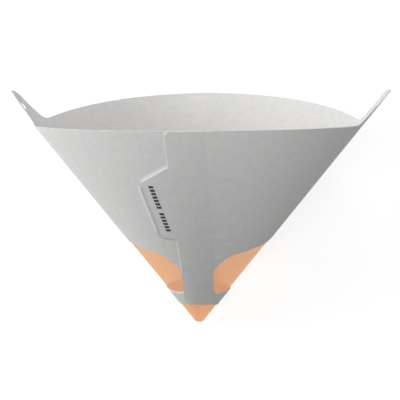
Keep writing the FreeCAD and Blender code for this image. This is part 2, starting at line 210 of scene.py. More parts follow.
# the cut edges as they are seen square from the front, in mm: across, up from the apex,
# and the radius of the corner
RIM_UP = SLANT / math.hypot(1, FRONT_DEPTH) / MM
LAP_EDGE = [                    # the over sheet's edge, with its glue flap
    (-7.2, RIM_UP, 0),
    (-9.0, RIM_UP - 1.8, 0),
    (-8.5, 107.2, 0.8),
    (-24.3, 97.0, 2.6),
    (-17.0, 64.2, 1.6),
    (-8.0, 63.2, 1.0),
    (-6.5, 12.0, 0),
]
UNDER_EDGE = [                  # the under sheet's edge, which shows beside the right window
    (9.2, 0, 0),
    (12.6, 150, 0),
]
RIGHT_WINDOW = [                # out past the crease, in to the seam strip and out again
    (59.35, 19.8, 0),
    (9.8, 24.9, 2.5),
    (9.8, 42.1, 2.5),
    (19.55, 51.4, 14.0),
    (59.35, 56.6, 0),
]
LEFT_WINDOW = [                 # cut a little higher than the right one
    (-56.65, 20.9, 0),
    (-7.1, 26.0, 2.5),
    (-7.1, 42.1, 2.5),
    (-16.85, 52.5, 14.0),
    (-56.65, 54.95, 0),
]


def cut_line(corners, step):
    """Points along an edge that is given in mm."""
    return rounded([(x * MM, y * MM, radius * MM) for x, y, radius in corners], step)


def window_outline(corners, sheet):
    """One window on the blank: up the front to the crease, and back down behind it."""
    line = cut_line(corners, EDGE_STEP / 4)
    kept = line[np.abs(line[:, 0]) < HALF_WIDTH * line[:, 1]]
    front = from_front_view(kept, sheet)
    back = from_front_view(kept, "back")
    return thin_out(np.concatenate([front, back[::-1]]))


def thin_out(loop):
    """The loop without the points that lie closer together than the edge step."""
    kept = [loop[0]]
    closest = 0.85 * EDGE_STEP
    for point in loop[1:]:
        if np.linalg.norm(point - kept[-1]) >= closest:
            kept.append(point)
    if np.linalg.norm(kept[-1] - kept[0]) < EDGE_STEP / 2:
        kept.pop()
    return np.array(kept)


def at_crease(points, side):
    """Points given beside a crease (aside, along it) on the blank; side is +1 or -1."""
    aside = points[:, :1]
    along = points[:, 1:]
    ahead = np.array([math.sin(FOLD_AT * side), math.cos(FOLD_AT * side)])
    right = np.array([ahead[1], -ahead[0]])
    return along * ahead + aside * right


def ear_outline(side):
    """The rim's rise over one ear, from one side of the crease to the other."""
    middle = ear_middle(side)
    flare = EAR_ROOT_HALF + EAR_ROOT_ROUND
    top = SLANT + (LEFT_EAR_LENGTH if side > 0 else EAR_LENGTH)
    corners = []
    for aside, height, radius in (
            (flare, None, 0), (EAR_ROOT_HALF, None, EAR_ROOT_ROUND),
            (EAR_END_HALF, top, EAR_END_ROUND), (-EAR_END_HALF, top, EAR_END_ROUND),
            (-EAR_ROOT_HALF, None, EAR_ROOT_ROUND), (-flare, None, 0)):
        across = middle + aside
        corners.append((across, height or math.sqrt(SLANT ** 2 - across ** 2), radius))
    return at_crease(rounded(corners, EDGE_STEP), side)


def ear_middle(side):
    """How far one ear's middle stands from its crease, on the blank."""
    return -LEFT_EAR_SHIFT if side > 0 else -RIGHT_EAR_SHIFT


def crease_share(angle):
    """0 at the middle of a wall, 1 at a crease."""
    turn = np.abs(angle)
    return np.where(turn < FOLD_AT, turn / FOLD_AT, (HALF_TURN - turn) / FRONT_RUN[-1])


def tip_reach(angle):
    """How far from the apex the paper's lower edge is: it dips towards each crease."""
    return TIP_OPENING - TIP_DIP * crease_share(angle) ** 2


def rim_run(start, end):
    """Points along the rim between two angles of the blank, ends left out."""
    parts = math.ceil(abs(end - start) * SLANT / EDGE_STEP)
    return polar(SLANT, np.linspace(start, end, parts + 1)[1:-1])


def between_edges(line):
    """The points of a line on the blank between the paper's lower edge and its rim."""
    reach = np.linalg.norm(line, axis=1)
    return line[(reach > tip_reach(np.arctan2(*line.T))) & (reach < SLANT)]


TIP_POINTS = 110                # along the paper's lower edge, before it is thinned out


def blank_outline():
    """The blank's outer edge, from the under edge round the rim to the lap edge."""
    under = between_edges(from_front_view(cut_line(UNDER_EDGE, EDGE_STEP / 2)[1:], "under"))
    lap = between_edges(from_front_view(cut_line(LAP_EDGE, EDGE_STEP / 2), "over"))
    flare = EAR_ROOT_HALF + EAR_ROOT_ROUND
    left_ear, right_ear = [
        [side * FOLD_AT + math.asin((ear_middle(side) + aside) / SLANT)
         for aside in (-flare, flare)] for side in (1, -1)]
    under_top = math.atan2(*under[-1])
    lap_top = math.atan2(*lap[0])
    tip_start = math.atan2(*lap[-1])
    tip_end = math.atan2(*under[0])
    tip_turn = np.linspace(tip_start, tip_end, TIP_POINTS)[1:-1]
    return thin_out(np.concatenate([
        under,
        rim_run(under_top, left_ear[1]),
        ear_outline(1),
        rim_run(left_ear[0], right_ear[1]),
        ear_outline(-1),
        rim_run(right_ear[0], lap_top),
        lap,
        polar(tip_reach(tip_turn), tip_turn)]))


HOLE_POINTS = 24


def hole_outline(side):
    """The hanging hole in one ear. The left one isn't punched quite on its middle."""
    middle = ear_middle(side) - (LEFT_HOLE_SHIFT if side > 0 else 0)
    turn = np.linspace(0, 2 * math.pi, HOLE_POINTS + 1)[:-1]
    ring = np.stack([middle + HOLE_HALF * np.sin(turn),
                     SLANT + HOLE_HEIGHT + HOLE_HALF * np.cos(turn)], axis=1)
    return at_crease(ring, side)


def inside_loops(points, loops):
    """True for points inside an odd number of the loops."""
    odd = np.zeros(len(points), bool)
    for loop in loops:
        for (x0, y0), (x1, y1) in zip(loop, np.roll(loop, -1, axis=0)):
            if y0 == y1:
                continue
            level = (points[:, 1] >= min(y0, y1)) & (points[:, 1] < max(y0, y1))
            odd ^= level & (points[:, 0] < x0 + (points[:, 1] - y0) * (x1 - x0) / (y1 - y0))
    return odd


def clear_of_edges(points, loops, gap):
    """True for points at least gap from every loop's own points."""
    clear = np.ones(len(points), bool)
    for loop in loops:
        for spot in loop:
            clear &= ((points - spot) ** 2).sum(axis=1) > gap ** 2
    return clear


RING_GAP = 0.87 * STEP          # about what makes a ring's triangles even-sided
CREASE_GAP = 0.8 * STEP
CREASE_ROWS = np.array([-1.5, -0.9, -0.45, 0, 0.45, 0.9, 1.5]) * FOLD_HALF
CREASE_CLEAR = 2.1 * FOLD_HALF  # no ring's point comes closer to a crease than this
WIDEST_TURN = 2.9               # past both ends of the blank


def blank_points():
    """Points spread over the blank in rings about the apex, in close rows at the creases."""
    nearest = TIP_OPENING - TIP_DIP
    farthest = SLANT + EAR_LENGTH
    rings = []
    for k, radius in enumerate(np.arange(nearest, farthest, RING_GAP)):
        turn = STEP / radius
        rings.append(polar(radius, np.arange(-WIDEST_TURN, WIDEST_TURN, turn) + (k % 2) * turn / 2))
    points = np.concatenate(rings)
    along = np.arange(nearest, farthest, CREASE_GAP)
    rows = []
    for side in (1, -1):
        crease = at_crease(np.array([[0.0, 1.0]]), side)[0]
        aside = points @ np.array([crease[1], -crease[0]])
        ahead = points @ crease
        points = points[(np.abs(aside) > CREASE_CLEAR) | (ahead < 0)]
        for offset in CREASE_ROWS:
            rows.append(at_crease(np.stack([np.full_like(along, offset), along], axis=1), side))
    return np.concatenate([points, *rows])


# ---- nodes

def add(tree, kind, feeds=None, **settings):
    """Add a node with its settings, and link or set its inputs."""
    node = tree.nodes.new(kind)
    for name, value in settings.items():
        setattr(node, name, value)
    for key, value in (feeds or {}).items():
        if isinstance(value, bpy.types.NodeSocket):
            tree.links.new(value, node.inputs[key])
        else:
            node.inputs[key].default_value = value
    return node


def new_tree(name, sizes):
    """A geometry tree with a mesh in, a mesh out and these named inputs."""
    tree = bpy.data.node_groups.new(name, "GeometryNodeTree")
    tree.interface.new_socket("Mesh", in_out="INPUT", socket_type="NodeSocketGeometry")
    for size, (kind, value) in sizes.items():
        socket = tree.interface.new_socket(size, in_out="INPUT", socket_type=kind)
        if value is not None:
            socket.default_value = value
    tree.interface.new_socket("Mesh", in_out="OUTPUT", socket_type="NodeSocketGeometry")
    return tree


def put(name, data):
    """A new object in the scene, at the origin."""
    thing = bpy.data.objects.new(name, data)
    bpy.context.scene.collection.objects.link(thing)
    return thing


def set_inputs(modifier, values):
    """Set a geometry modifier's inputs, found by their names, by their identifiers."""
    for item in modifier.node_group.interface.items_tree:
        if item.in_out == "INPUT" and item.name in values:
            modifier[item.identifier] = values[item.name]


NUMBER = "NodeSocketFloat"


def roll_tree():
    """Rolls what lies on the blank's plane into the cone and lays the cone down.

    A point keeps its distance from the apex, and its angle becomes a run along the
    section curve. Its height above the plane becomes height outside the paper."""
    tree = new_tree("Roll into cone", {
        "Section": ("NodeSocketObject", None),
        "Section Start": (NUMBER, 0.0),
        "Half Turn": (NUMBER, HALF_TURN),
        "Half Width": (NUMBER, HALF_WIDTH),
        "Crease Angle": (NUMBER, FOLD_AT),
        "Crease Slope": (NUMBER, 0.2),
        "Crease Rounding": (NUMBER, FOLD_HALF),
        "Slant": (NUMBER, SLANT),
        "Ear Length": (NUMBER, EAR_LENGTH),
        "Ear Flattening": (NUMBER, EAR_FLATTENED),
        "Ear Curl": (NUMBER, 1.5),
        "Ear Turn": (NUMBER, 0.45),
        "Slack": (NUMBER, 0.0),
        "Slack Spread": (NUMBER, 0.42),
        "Slack Starts": (NUMBER, 25 * MM),
        "Slack Ends": (NUMBER, GAUZE_REACH),
        "Slack Steepness": (NUMBER, 8.0),
        "Left Ear Bend": (NUMBER, 0.0),
        "Right Ear Bend": (NUMBER, 0.0),
        "Left Ear Twist": (NUMBER, 0.0),
        "Right Ear Twist": (NUMBER, 0.0),
        "Lap Step": (NUMBER, 0.0),
        "Lap Middle": (NUMBER, 0.0),
        "Lap Ease": (NUMBER, LAP_EASE),
        "Waviness": (NUMBER, 0.0),
        "Wave Scale": (NUMBER, 2.3),
        "Tip Pinch": (NUMBER, 8 * MM),
        "Pinched Depth": (NUMBER, 0.1),
        "Lay Down": (NUMBER, LAY_DOWN),
        "Apex": ("NodeSocketVector", None),
        "Finish": ("NodeSocketMaterial", None),
    })
    size = add(tree, "NodeGroupInput").outputs
    spot = add(tree, "GeometryNodeInputPosition").outputs[0]
    flat = add(tree, "ShaderNodeSeparateXYZ", {0: spot}).outputs
    level = add(tree, "ShaderNodeCombineXYZ", {0: flat[0], 1: flat[1]}).outputs[0]
    reach = add(tree, "ShaderNodeVectorMath", {0: level}, operation="LENGTH").outputs["Value"]
    angle = add(tree, "ShaderNodeMath", {0: flat[0], 1: flat[1]}, operation="ARCTAN2").outputs[0]

    run = add(tree, "ShaderNodeMath", {0: angle, 1: size["Section Start"]},
              operation="SUBTRACT").outputs[0]
    section = add(tree, "GeometryNodeObjectInfo", {"Object": size["Section"]})
    ray = add(tree, "GeometryNodeSampleCurve",
              {"Curves": section.outputs["Geometry"], "Length": run}, mode="LENGTH")
    outward = add(tree, "ShaderNodeVectorMath",
                  {0: ray.outputs["Tangent"], 1: ray.outputs["Position"]},
                  operation="CROSS_PRODUCT").outputs[0]
    normal = add(tree, "ShaderNodeVectorMath", {0: outward}, operation="NORMALIZE").outputs[0]
    direction = add(tree, "ShaderNodeVectorMath", {0: ray.outputs["Position"]},
                    operation="NORMALIZE").outputs[0]
    on_cone = add(tree, "ShaderNodeVectorMath", {0: direction, "Scale": reach},
                  operation="SCALE").outputs[0]

    # the over sheet rides on the under sheet, and comes down just past its edge
    past_front = add(tree, "ShaderNodeMath", {0: angle, 1: size["Half Turn"]},
                     operation="ADD").outputs[0]
    sine = add(tree, "ShaderNodeMath", {0: past_front}, operation="SINE").outputs[0]
    from_middle = add(tree, "ShaderNodeMath", {0: sine, 1: reach},
                      operation="MULTIPLY").outputs[0]
    lap_end = add(tree, "ShaderNodeMath", {0: size["Lap Middle"], 1: size["Lap Ease"]},
                  operation="ADD").outputs[0]
    lifted = add(tree, "ShaderNodeMapRange",
                 {"Value": from_middle, "From Min": size["Lap Middle"], "From Max": lap_end,
                  "To Min": size["Lap Step"], "To Max": 0.0},
                 interpolation_type="SMOOTHSTEP").outputs[0]
    over_half = add(tree, "ShaderNodeMath", {0: angle, 1: 0.0}, operation="LESS_THAN").outputs[0]
    lift = add(tree, "ShaderNodeMath", {0: lifted, 1: over_half},
               operation="MULTIPLY").outputs[0]

    # hand-opened paper isn't quite even: broad shallow waves that grow towards the rim
    rim_share = add(tree, "ShaderNodeMath", {0: reach, 1: size["Slant"]},
                    operation="DIVIDE").outputs[0]
    wave_size = add(tree, "ShaderNodeMath", {0: rim_share, 1: size["Waviness"]},
                    operation="MULTIPLY").outputs[0]
    wave = add(tree, "ShaderNodeTexNoise",
               {"Vector": ray.outputs["Position"], "Scale": size["Wave Scale"],
                "Detail": 1.0}, noise_dimensions="3D").outputs[0]
    even = add(tree, "ShaderNodeMath", {0: wave, 1: 0.5}, operation="SUBTRACT").outputs[0]
    sway = add(tree, "ShaderNodeMath", {0: even, 1: wave_size}, operation="MULTIPLY").outputs[0]
    height = flat[2]
    for more in (lift, sway):
        height = add(tree, "ShaderNodeMath", {0: height, 1: more}, operation="ADD").outputs[0]
    raised = add(tree, "ShaderNodeVectorMath", {0: normal, "Scale": height},
                 operation="SCALE").outputs[0]
    shell = add(tree, "ShaderNodeVectorMath", {0: on_cone, 1: raised},
                operation="ADD").outputs[0]

    # each crease is rounded a little, and in its ear it dies out into a flat
    half_angle = add(tree, "ShaderNodeMath", {0: angle}, operation="ABSOLUTE").outputs[0]
    from_crease = add(tree, "ShaderNodeMath", {0: half_angle, 1: size["Crease Angle"]},
                      operation="SUBTRACT").outputs[0]
    crease_sine = add(tree, "ShaderNodeMath", {0: from_crease}, operation="SINE").outputs[0]
    forward = add(tree, "ShaderNodeMath", {0: crease_sine, 1: reach},
                  operation="MULTIPLY").outputs[0]
    aside = add(tree, "ShaderNodeMath", {0: forward}, operation="ABSOLUTE").outputs[0]
    ear_end = add(tree, "ShaderNodeMath", {0: size["Slant"], 1: size["Ear Length"]},
                  operation="ADD").outputs[0]
    rounding = add(tree, "ShaderNodeMapRange",
                   {"Value": reach, "From Min": size["Slant"], "From Max": ear_end,
                    "To Min": size["Crease Rounding"], "To Max": size["Ear Flattening"]},
                   interpolation_type="LINEAR").outputs[0]
    within = add(tree, "ShaderNodeMath", {0: rounding, 1: aside},
                 operation="SUBTRACT").outputs[0]
    within = add(tree, "ShaderNodeMath", {0: within, 1: 0.0}, operation="MAXIMUM").outputs[0]
    squared = add(tree, "ShaderNodeMath", {0: within, 1: within},
                  operation="MULTIPLY").outputs[0]
    sink = add(tree, "ShaderNodeMath", {0: squared, 1: rounding}, operation="DIVIDE").outputs[0]
    for factor in (size["Crease Slope"], 0.5):
        sink = add(tree, "ShaderNodeMath", {0: sink, 1: factor}, operation="MULTIPLY").outputs[0]
    ear_share = add(tree, "ShaderNodeMapRange",
                    {"Value": reach, "From Min": size["Slant"], "From Max": ear_end},
                    interpolation_type="LINEAR").outputs[0]
    ear_curl = add(tree, "ShaderNodeMath", {0: ear_share, 1: size["Ear Curl"]},
                   operation="POWER").outputs[0]
    side_bend = add(tree, "ShaderNodeMix",
                    {"Factor": over_half, "A": size["Left Ear Bend"],
                     "B": size["Right Ear Bend"]}, data_type="FLOAT").outputs[0]
    bend = add(tree, "ShaderNodeMath", {0: side_bend, 1: ear_curl},
               operation="MULTIPLY").outputs[0]
    inward = add(tree, "ShaderNodeMath", {0: sink, 1: bend}, operation="ADD").outputs[0]
    ear_turn = add(tree, "ShaderNodeMath", {0: ear_share, 1: size["Ear Turn"]},
                   operation="POWER").outputs[0]
    side_twist = add(tree, "ShaderNodeMix",
                     {"Factor": over_half, "A": size["Left Ear Twist"],
                      "B": size["Right Ear Twist"]}, data_type="FLOAT").outputs[0]
    twist = add(tree, "ShaderNodeMath", {0: side_twist, 1: ear_turn},
                operation="MULTIPLY").outputs[0]
    inward = add(tree, "ShaderNodeMath", {0: forward, 1: twist, 2: inward},
                 operation="MULTIPLY_ADD").outputs[0]

    # gauze hangs a little slack inside the creases, between the windows' edges
    fold_gap = add(tree, "ShaderNodeMath", {0: from_crease}, operation="ABSOLUTE").outputs[0]
    beside = add(tree, "ShaderNodeMapRange",
                 {"Value": fold_gap, "From Max": size["Slack Spread"], "To Min": 1.0,
                  "To Max": 0.0}, interpolation_type="SMOOTHSTEP").outputs[0]
    free = add(tree, "ShaderNodeMapRange",
               {"Value": reach, "From Min": size["Slack Ends"], "From Max": 0.0,
                "To Max": size["Slack Steepness"]}, interpolation_type="LINEAR").outputs[0]
    slack = add(tree, "ShaderNodeMath", {0: free, 1: 1.0}, operation="MINIMUM").outputs[0]
    low_share = add(tree, "ShaderNodeMapRange",
                    {"Value": reach, "From Max": size["Slack Starts"]}).outputs[0]
    for factor in (low_share, beside, size["Slack"]):
        slack = add(tree, "ShaderNodeMath", {0: slack, 1: factor},
                    operation="MULTIPLY").outputs[0]
    inward = add(tree, "ShaderNodeMath", {0: inward, 1: slack}, operation="ADD").outputs[0]
    side = add(tree, "ShaderNodeMath", {0: angle}, operation="SIGN").outputs[0]
    square_in = add(tree, "ShaderNodeCombineXYZ", {0: side, 2: size["Half Width"]}).outputs[0]
    square_in = add(tree, "ShaderNodeVectorMath", {0: square_in},
                    operation="NORMALIZE").outputs[0]
    moved_in = add(tree, "ShaderNodeVectorMath", {0: square_in, "Scale": inward},
                   operation="SCALE").outputs[0]
    creased = add(tree, "ShaderNodeVectorMath", {0: shell, 1: moved_in},
                  operation="ADD").outputs[0]

    # the very tip is drawn together between front and back
    parts = add(tree, "ShaderNodeSeparateXYZ", {0: creased}).outputs
    open_share = add(tree, "ShaderNodeMapRange",
                     {"Value": reach, "From Min": 0.0, "From Max": size["Tip Pinch"],
                      "To Min": size["Pinched Depth"], "To Max": 1.0},
                     interpolation_type="SMOOTHSTEP").outputs[0]
    depth = add(tree, "ShaderNodeMath", {0: parts[1], 1: open_share},
                operation="MULTIPLY").outputs[0]
    placed = add(tree, "ShaderNodeCombineXYZ",
                 {0: parts[0], 1: depth, 2: parts[2]}).outputs[0]

    rolled = add(tree, "GeometryNodeSetPosition",
                 {"Geometry": size["Mesh"], "Position": placed}).outputs[0]
    turn = add(tree, "ShaderNodeMath", {0: size["Lay Down"], 1: -1.0},
               operation="MULTIPLY").outputs[0]
    tilt = add(tree, "ShaderNodeCombineXYZ", {0: turn}).outputs[0]
    laid = add(tree, "GeometryNodeTransform",
               {"Geometry": rolled, "Translation": size["Apex"], "Rotation": tilt}).outputs[0]
    real = add(tree, "GeometryNodeRealizeInstances", {0: laid}).outputs[0]
    done = add(tree, "GeometryNodeSetMaterial",
               {"Geometry": real, "Material": size["Finish"]}).outputs[0]
    add(tree, "NodeGroupOutput", {0: done})
    return tree


def section_curve():
    """The section as a curve on the unit sphere, run past a full turn both ways."""
    left = np.array([-1, 1, 1])
    rays = np.concatenate([FRONT_RAYS * left, (BACK_RAYS * left)[::-1][1:],
                           BACK_RAYS[1:], FRONT_RAYS[::-1][1:]])
    run = np.concatenate([HALF_TURN - FRONT_RUN, BACK_RUN[::-1][1:],
                          -BACK_RUN[1:], -HALF_TURN + FRONT_RUN[::-1][1:]])
    past = 1.1
    step = 0.004
    turns = np.concatenate([np.arange(-HALF_TURN - past, HALF_TURN + past, step),
                            [FOLD_AT, -FOLD_AT]])
    turns.sort()
    wrapped = (turns + HALF_TURN) % (2 * HALF_TURN) - HALF_TURN
    points = np.stack([np.interp(wrapped, run[::-1], rays[::-1, k]) for k in range(3)], axis=1)
    points /= np.linalg.norm(points, axis=1)[:, None]
    curve = bpy.data.curves.new("section", "CURVE")
    curve.dimensions = "3D"
    spline = curve.splines.new("POLY")
    spline.points.add(len(points) - 1)
    spline.points.foreach_set("co", np.insert(points, 3, 1, axis=1).ravel())
    return put("section", curve), float(turns[0])


CREASE_SPAN = 40                # points of the section over which that slope is taken


def crease_slope():
    """How steeply the walls fall away from a crease, on average, in the crease's own frame."""
    slopes = []
    for rays in (FRONT_RAYS, BACK_RAYS):
        crease = rays[-1]
        square = np.array([-crease[2], 0, crease[0]])
        leave = rays[-CREASE_SPAN] - crease
        slopes.append(abs(leave @ square / leave[1]))
    return sum(slopes) / 2


SECTION, SECTION_START = section_curve()
ROLL = roll_tree()
APEX = Vector((0, CAD_HIGH.y - SLANT, CAD_LOW.z))


def roll(piece, finish, **changes):
    """Put the roll on a flat piece, as its modifier."""
    rule = piece.modifiers.new("Roll", "NODES")
    rule.node_group = ROLL
    values = {"Section": SECTION, "Section Start": SECTION_START, "Half Turn": HALF_TURN,
              "Crease Angle": FOLD_AT, "Crease Slope": crease_slope(),
              "Lay Down": LAY_DOWN, "Apex": APEX, "Finish": finish}
    values.update(changes)
    set_inputs(rule, values)
    return rule


def thicken(piece, thickness, rim_slot=0, even=True):
    """Give a rolled sheet its wall, inwards from the face that was rolled."""
    wall = piece.modifiers.new("Wall", "SOLIDIFY")
    wall.thickness = thickness
    wall.offset = -1
    wall.use_even_offset = even
    wall.material_offset_rim = rim_slot
    return wall


def settle(piece, name):
    """Replace a piece by the plain mesh that its modifiers make."""
    view = bpy.context.evaluated_depsgraph_get()
    mesh = bpy.data.meshes.new_from_object(piece.evaluated_get(view))
    mesh.name = name
    mesh.polygons.foreach_set("use_smooth", [True] * len(mesh.polygons))
    mesh.set_sharp_from_angle(angle=SHARP_FROM)
    bpy.data.objects.remove(piece)
    return put(name, mesh)


BLANK_SPAN = 0.4                # metres of the blank that the UV map's unit covers


def flat_mesh(name, points, faces, heights, finishes):
    """A flat piece on the blank's plane, with its place on the blank as its UV map."""
    mesh = bpy.data.meshes.new(name)
    spots = np.column_stack([points, heights])
    mesh.from_pydata(spots.tolist(), [], faces)
    plan = mesh.uv_layers.new(name="Blank")
    corners = np.empty(len(mesh.loops), int)
    mesh.loops.foreach_get("vertex_index", corners)
    plan.data.foreach_set("uv", (points[corners] / BLANK_SPAN + 0.5).ravel())
    for finish in finishes:
        mesh.materials.append(finish)
    return put(name, mesh)


# ---- finishes: what repeats in them, in mm

CLOUDS = 4.0                    # patches of denser and thinner pulp
FIBRES = 0.5                    # bundles of fibre in the card's face
PULP = 0.8                      # tufts along a cut
THREADS = 0.7                   # drawn; the real threads are about 0.2 mm apart
INK_GRAIN = 2 / 3               # spots where the ink covers the card less
BEHIND = 2.0                    # how far a pressed line's ramp goes on behind it


def linear(colour):
    """An sRGB hex colour as linear light."""
    parts = [int(colour[k:k + 2], 16) / 255 for k in (1, 3, 5)]
    light = [p / 12.92 if p <= 0.04045 else ((p + 0.055) / 1.055) ** 2.4 for p in parts]
    return (*light, 1)


def new_material(name):
    """An empty node material."""
    material = bpy.data.materials.new(name)
    material.use_nodes = True
    material.node_tree.nodes.clear()
    return material


def millimetres(tree):
    """The blank's own coordinates, in millimetres."""
    plan = add(tree, "ShaderNodeUVMap", uv_map="Blank").outputs[0]
    return add(tree, "ShaderNodeVectorMath", {0: plan, "Scale": BLANK_SPAN / MM},
               operation="SCALE").outputs[0]


def beside_line(tree, plan, sheet, start, end, width, fade):
    """1 on a line, given in front view in mm, and dying out to the left of it.

    The left is the walker's, from start to end; fade is how far it takes at the ends."""
    first, last = from_front_view(np.array([start, end]) * MM, sheet) / MM
    run = last - first
    length = float(np.linalg.norm(run))
    run /= length
    origin = BLANK_SPAN / MM / 2
    spot = add(tree, "ShaderNodeVectorMath",
               {0: plan, 1: (first[0] + origin, first[1] + origin, 0)},
               operation="SUBTRACT").outputs[0]
    away = add(tree, "ShaderNodeVectorMath", {0: spot, 1: (-run[1], run[0], 0)},
               operation="DOT_PRODUCT").outputs["Value"]
    along = add(tree, "ShaderNodeVectorMath", {0: spot, 1: (run[0], run[1], 0)},
                operation="DOT_PRODUCT").outputs["Value"]
    share = add(tree, "ShaderNodeMapRange",
                {"Value": away, "From Min": width, "From Max": 0.0}).outputs[0]
    ramp = add(tree, "ShaderNodeMath", {0: share, 1: share}, operation="MULTIPLY").outputs[0]
    begins = add(tree, "ShaderNodeMapRange", {"Value": along, "From Max": fade},
                 interpolation_type="SMOOTHSTEP").outputs[0]
    ends = add(tree, "ShaderNodeMapRange",
               {"Value": along, "From Min": length, "From Max": length - fade},
               interpolation_type="SMOOTHSTEP").outputs[0]
    close = add(tree, "ShaderNodeMath", {0: away, 1: -BEHIND},
                operation="GREATER_THAN").outputs[0]
    for factor in (begins, ends, close):
        ramp = add(tree, "ShaderNodeMath", {0: ramp, 1: factor}, operation="MULTIPLY").outputs[0]
    return ramp


# where the sheet is pressed along its edges, seen from the front in mm: sheet, from, to,
# height and width of the ramp, how much painted highlight it gets, and how long it takes to fade at
# its ends
PRESSED = [
    ("over", (-6.8, 127.1), (-9.0, 124.9), -0.8, 1.3, 1.0, 0.3),
    ("over", (-9.0, 125.2), (-8.4, 106.6), -0.3, 1.1, 1.0, 0.4),
    ("under", (-23.8, 97.4), (-1.5, 111.4), 1.6, 2.9, 1.0, 8.0),
    ("over", (-24.3, 96.4), (-17.2, 64.4), 0.6, 2.6, 0.0, 2.0),
    ("over", (-17.0, 64.2), (-8.0, 63.2), -0.35, 1.1, 0.0, 2.0),
    ("over", (-8.0, 63.4), (-7.3, 39.0), -0.3, 1.0, 1.0, 1.0),
    ("under", (-17.4, 65.0), (-24.4, 96.4), 0.6, 2.2, 0.3, 4.0),
    ("under", (-7.0, 26.1), (-18.5, 25.0), -0.8, 1.3, 1.0, 0.5),
]


def bleached_paper():
    """Bleached, machine-glazed filter card: matt, with cloudy fibres and a faint tooth."""
    material = new_material("bleached filter card")
    tree = material.node_tree
    plan = millimetres(tree)
    clouds = add(tree, "ShaderNodeTexNoise",
                 {"Vector": plan, "Scale": 1 / CLOUDS, "Detail": 4.0,
                  "Roughness": 0.6}).outputs[0]
    colour = add(tree, "ShaderNodeMix",
                 {"Factor": clouds, "A": linear("#DBDBDA"), "B": linear("#EFEFEE")},
                 data_type="RGBA")
    # less light comes through where two sheets lie together
    darkening = 0.07
    doubled = add(tree, "ShaderNodeAttribute", attribute_name="doubled").outputs["Fac"]
    shade = add(tree, "ShaderNodeMath", {0: doubled, 1: darkening},
                operation="MULTIPLY").outputs[0]
    base = add(tree, "ShaderNodeMix",
               {"Factor": shade, "A": colour.outputs["Result"], "B": linear("#808080")},
               data_type="RGBA")
    fibres = add(tree, "ShaderNodeTexNoise",
                 {"Vector": plan, "Scale": 1 / FIBRES, "Detail": 3.0,
                  "Roughness": 0.7}).outputs[0]
    relief = 0.0
    painted_edge_highlight = 0.0
    for sheet, start, end, height, width, highlight_share, fade in PRESSED:
        ramp = beside_line(tree, plan, sheet, start, end, width, fade)
        relief = add(tree, "ShaderNodeMath", {0: ramp, 1: height, 2: relief},
                     operation="MULTIPLY_ADD").outputs[0]
        painted_edge_highlight = add(tree, "ShaderNodeMath", {0: ramp, 1: highlight_share, 2: painted_edge_highlight},
                        operation="MULTIPLY_ADD").outputs[0]
    # painted highlight: along these lines the card's colour is lifted towards white, as if their
    # edges caught the light
    base = add(tree, "ShaderNodeMix",
               {"Factor": painted_edge_highlight, "A": base.outputs["Result"], "B": linear("#F8F8F7")},
               data_type="RGBA")
    pressed = add(tree, "ShaderNodeBump",
                  {"Height": relief, "Strength": 1.0, "Distance": MM}).outputs[0]
    tooth = add(tree, "ShaderNodeBump",
                {"Height": fibres, "Strength": 0.5, "Distance": 0.03 * MM,
                 "Normal": pressed}).outputs[0]
    surface = add(tree, "ShaderNodeBsdfPrincipled",
                  {"Base Color": base.outputs["Result"], "Roughness": 0.82, "IOR": 1.5,
                   "Normal": tooth}).outputs[0]
    add(tree, "ShaderNodeOutputMaterial", {"Surface": surface})
    return material


def cut_paper():
    """The card's cut edge: bare pulp, rougher and a little greyer than the glazed face."""
    material = new_material("cut card edge")
    tree = material.node_tree
    plan = millimetres(tree)
    pulp = add(tree, "ShaderNodeTexNoise", {"Vector": plan, "Scale": 1 / PULP}).outputs[0]
    colour = add(tree, "ShaderNodeMix",
                 {"Factor": pulp, "A": linear("#D0D0CE"), "B": linear("#DADAD8")},
                 data_type="RGBA").outputs["Result"]
    surface = add(tree, "ShaderNodeBsdfPrincipled",
                  {"Base Color": colour, "Roughness": 0.95, "IOR": 1.5}).outputs[0]
    add(tree, "ShaderNodeOutputMaterial", {"Surface": surface})
    return material


def nylon_gauze():
    """Orange nylon monofilament gauze: a fine plain weave that light comes through.

    The real threads are about 0.2 mm apart. They are drawn further apart, so that they show."""
    material = new_material("woven nylon gauze")
    tree = material.node_tree
    plan = millimetres(tree)
    bands = math.pi / (10 * THREADS)    # this node draws 10 / pi bands for each unit of scale
    warp, weft = [add(tree, "ShaderNodeTexWave", {"Vector": plan, "Scale": bands},
                      wave_type="BANDS", bands_direction=way, wave_profile="SIN").outputs[0]
                  for way in "XY"]
    weave = add(tree, "ShaderNodeMath", {0: warp, 1: weft}, operation="MAXIMUM").outputs[0]
    colour = add(tree, "ShaderNodeMix",
                 {"Factor": weave, "A": linear("#FFD7AF"), "B": linear("#FFE2C6")},
                 data_type="RGBA").outputs["Result"]
    crossings = add(tree, "ShaderNodeBump",
                    {"Height": weave, "Strength": 0.3, "Distance": 0.05 * MM}).outputs[0]
    face = add(tree, "ShaderNodeBsdfPrincipled",
               {"Base Color": colour, "Roughness": 0.5, "IOR": 1.53,
                "Normal": crossings}).outputs[0]
    through = add(tree, "ShaderNodeBsdfTranslucent",
                  {"Color": colour, "Normal": crossings}).outputs[0]
    let_through = 0.5           # of the light that meets a thread
    open_share = 0.54           # of the gauze, between its threads
    threads = add(tree, "ShaderNodeMixShader", {0: let_through, 1: face, 2: through}).outputs[0]
    gaps = add(tree, "ShaderNodeBsdfTransparent", {"Color": linear("#FFF2E6")}).outputs[0]
    surface = add(tree, "ShaderNodeMixShader",
                  {0: open_share, 1: threads, 2: gaps}).outputs[0]
    add(tree, "ShaderNodeOutputMaterial", {"Surface": surface})
    return material


